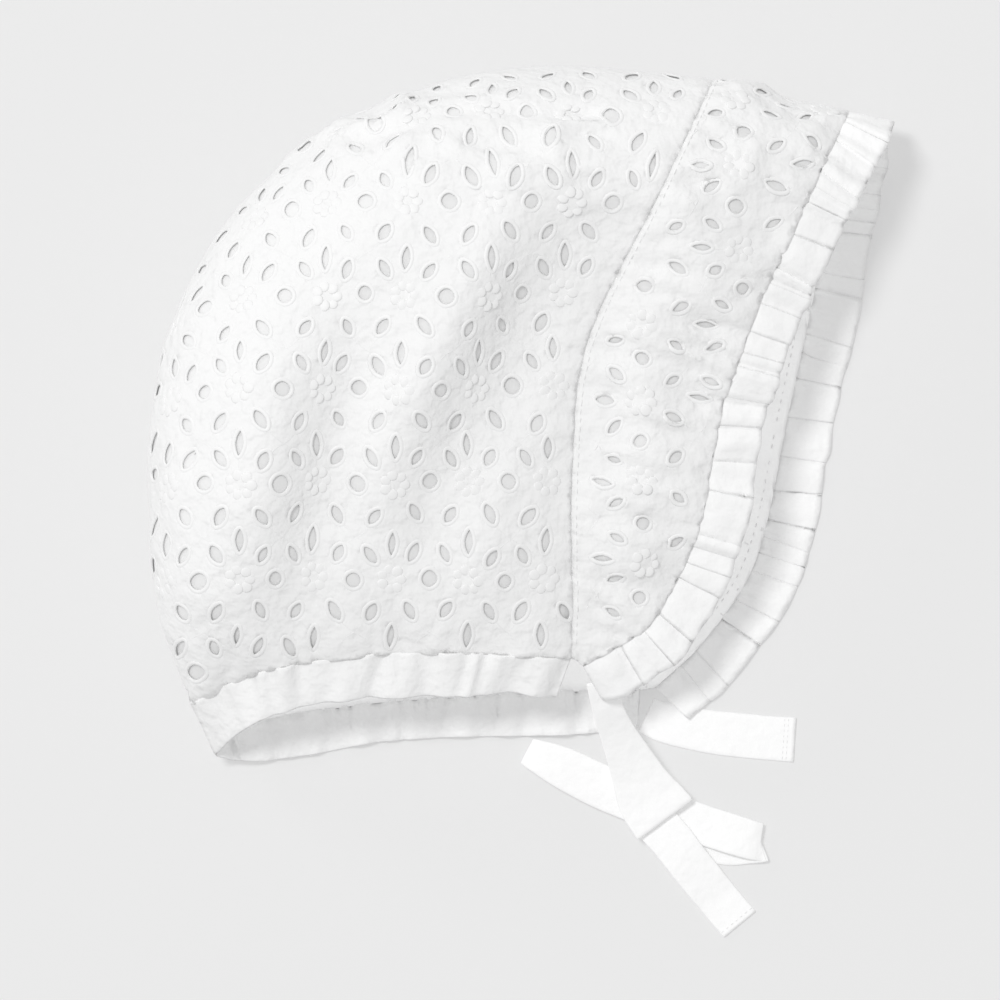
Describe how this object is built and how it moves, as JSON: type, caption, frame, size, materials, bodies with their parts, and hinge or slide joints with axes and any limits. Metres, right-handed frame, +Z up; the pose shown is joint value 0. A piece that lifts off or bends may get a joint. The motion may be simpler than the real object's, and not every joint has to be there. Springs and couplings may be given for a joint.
{
  "type": "baby bonnet",
  "caption": "Baby bonnet of white eyelet cotton lying on its side, with a brim, a pleated ruffle round the face, a gathered neck band and ties hitched into a bow.",
  "frame": {"origin": "on the surface it lies on, in the middle of the flat lower side", "axes": "+X from the back of the crown towards the face, +Y from the neck towards the top of the head, +Z up from the surface it lies on"},
  "size_m": [0.1868, 0.2174, 0.0601],
  "materials": {
    "eyelet_cotton": "matt woven cotton with embroidered eyelets",
    "plain_cotton": "matt woven cotton",
    "lining_cotton": "smooth matt woven cotton"
  },
  "bodies": {
    "root": {"crown": "eyelet_cotton", "brim": "eyelet_cotton", "lining": "lining_cotton", "neck_band": "plain_cotton", "ruffle": "plain_cotton", "near_tie": "plain_cotton", "bow_left_loop": "plain_cotton", "bow_right_loop": "plain_cotton", "bow_tail": "plain_cotton", "far_tie": "plain_cotton"}
  },
  "joints": []
}
